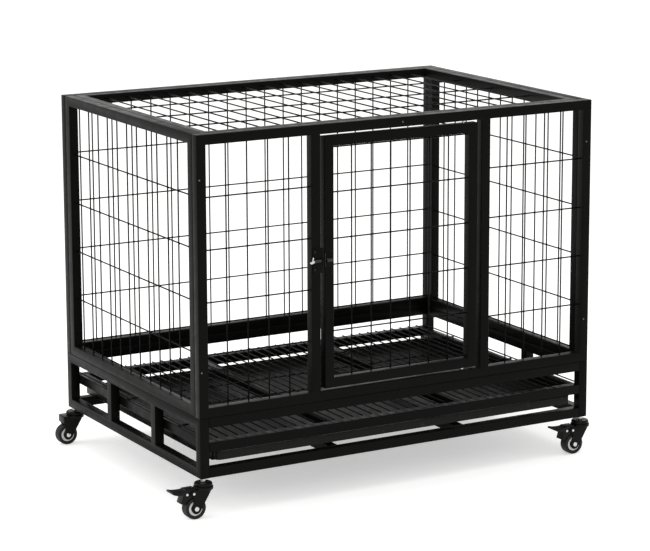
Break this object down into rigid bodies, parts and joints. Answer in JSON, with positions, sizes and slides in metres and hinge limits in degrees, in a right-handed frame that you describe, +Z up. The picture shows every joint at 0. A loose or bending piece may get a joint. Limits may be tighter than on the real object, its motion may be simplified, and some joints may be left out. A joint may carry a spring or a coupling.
{
  "type": "dog cage",
  "caption": "Dog cage of black square steel tube with welded wire walls, a hinged front door with a bolt, a wire floor over a pull-out tray, and swivel casters, the front two with brakes.",
  "frame": {"origin": "middle of the bounding box on the floor, under the casters", "axes": "+X along the length, to the right of someone who faces the door; -Y is the door side; +Z is up"},
  "size_m": [1.139, 0.748, 0.871],
  "materials": {
    "black_coated_steel": "smooth semi-gloss black coating",
    "grey_coated_sheet": "dark grey coated sheet",
    "zinc_plated_steel": "bright zinc plating",
    "black_plastic": "satin moulded black",
    "white_plastic": "moulded off-white",
    "black_tread": "matt black tread"
  },
  "bodies": {
    "cage": {"front_frame": "black_coated_steel", "front_left_grid": "black_coated_steel", "front_right_grid": "black_coated_steel", "back_frame": "black_coated_steel", "back_grid": "black_coated_steel", "left_frame": "black_coated_steel", "left_grid": "black_coated_steel", "right_frame": "black_coated_steel", "right_grid": "black_coated_steel", "top_frame": "black_coated_steel", "top_grid": "black_coated_steel", "base_left_end_frame": "black_coated_steel", "base_right_end_frame": "black_coated_steel", "base_front_bottom_rail": "black_coated_steel", "base_front_mid_rail": "black_coated_steel", "base_front_top_rail": "black_coated_steel", "base_back_bottom_rail": "black_coated_steel", "base_back_mid_rail": "black_coated_steel", "base_back_top_rail": "black_coated_steel", "base_left_mid_rail": "black_coated_steel", "base_right_mid_rail": "black_coated_steel", "left_floor_bar": "black_coated_steel", "right_floor_bar": "black_coated_steel", "left_runner": "black_coated_steel", "right_runner": "black_coated_steel", "left_tray_guide": "black_coated_steel", "right_tray_guide": "black_coated_steel", "floor_grate": "black_coated_steel", "upper_hinge_pin": "zinc_plated_steel", "lower_hinge_pin": "zinc_plated_steel", "latch_plate": "black_coated_steel", "front_left_caster_stem": "zinc_plated_steel", "front_right_caster_stem": "zinc_plated_steel", "back_left_caster_stem": "zinc_plated_steel", "back_right_caster_stem": "zinc_plated_steel"},
    "door": {"door_frame": "black_coated_steel", "door_grid": "black_coated_steel", "latch_keeper": "black_coated_steel"},
    "bolt": {"latch_bolt": "zinc_plated_steel"},
    "tray": {"tray": "grey_coated_sheet"},
    "front_left_swivel": {"front_left_caster_fork": "black_coated_steel", "front_left_axle": "zinc_plated_steel"},
    "front_left_wheel": {"front_left_wheel_rim": "white_plastic", "front_left_tyre": "black_tread"},
    "front_left_pedal": {"front_left_brake_pedal": "black_plastic"},
    "front_right_swivel": {"front_right_caster_fork": "black_coated_steel", "front_right_axle": "zinc_plated_steel"},
    "front_right_wheel": {"front_right_wheel_rim": "white_plastic", "front_right_tyre": "black_tread"},
    "front_right_pedal": {"front_right_brake_pedal": "black_plastic"},
    "back_left_swivel": {"back_left_caster_fork": "black_coated_steel", "back_left_axle": "zinc_plated_steel"},
    "back_left_wheel": {"back_left_wheel_rim": "white_plastic", "back_left_tyre": "black_tread"},
    "back_right_swivel": {"back_right_caster_fork": "black_coated_steel", "back_right_axle": "zinc_plated_steel"},
    "back_right_wheel": {"back_right_wheel_rim": "white_plastic", "back_right_tyre": "black_tread"}
  },
  "joints": [
    {"name": "door_hinge", "type": "hinge", "parent": "cage", "child": "door", "pos_m": [0.2015, -0.351, 0.55], "axis": [0, 0, 1], "range_deg": [0, 140]},
    {"name": "bolt_slide", "type": "slide", "parent": "cage", "child": "bolt", "axis": [1, 0, 0], "range_m": [0, 0.016]},
    {"name": "tray_slide", "type": "slide", "parent": "cage", "child": "tray", "axis": [0, -1, 0], "range_m": [0, 0.55]},
    {"name": "front_left_caster_swivel", "type": "hinge", "parent": "cage", "child": "front_left_swivel", "pos_m": [-0.4855, -0.351, 0.091], "axis": [0, 0, 1], "continuous": true},
    {"name": "front_left_wheel_spin", "type": "hinge", "parent": "front_left_swivel", "child": "front_left_wheel", "pos_m": [-0.5095, -0.351, 0.0255], "axis": [0, 1, 0], "continuous": true},
    {"name": "front_left_brake", "type": "hinge", "parent": "front_left_swivel", "child": "front_left_pedal", "pos_m": [-0.5155, -0.351, 0.061], "axis": [0, -1, 0], "range_deg": [0, 8]},
    {"name": "front_right_caster_swivel", "type": "hinge", "parent": "cage", "child": "front_right_swivel", "pos_m": [0.5465, -0.351, 0.091], "axis": [0, 0, 1], "continuous": true},
    {"name": "front_right_wheel_spin", "type": "hinge", "parent": "front_right_swivel", "child": "front_right_wheel", "pos_m": [0.5225, -0.351, 0.0255], "axis": [0, 1, 0], "continuous": true},
    {"name": "front_right_brake", "type": "hinge", "parent": "front_right_swivel", "child": "front_right_pedal", "pos_m": [0.5165, -0.351, 0.061], "axis": [0, -1, 0], "range_deg": [0, 8]},
    {"name": "back_left_caster_swivel", "type": "hinge", "parent": "cage", "child": "back_left_swivel", "pos_m": [-0.4855, 0.351, 0.091], "axis": [0, 0, 1], "continuous": true},
    {"name": "back_left_wheel_spin", "type": "hinge", "parent": "back_left_swivel", "child": "back_left_wheel", "pos_m": [-0.5095, 0.351, 0.0255], "axis": [0, 1, 0], "continuous": true},
    {"name": "back_right_caster_swivel", "type": "hinge", "parent": "cage", "child": "back_right_swivel", "pos_m": [0.5465, 0.351, 0.091], "axis": [0, 0, 1], "continuous": true},
    {"name": "back_right_wheel_spin", "type": "hinge", "parent": "back_right_swivel", "child": "back_right_wheel", "pos_m": [0.5225, 0.351, 0.0255], "axis": [0, 1, 0], "continuous": true}
  ]
}
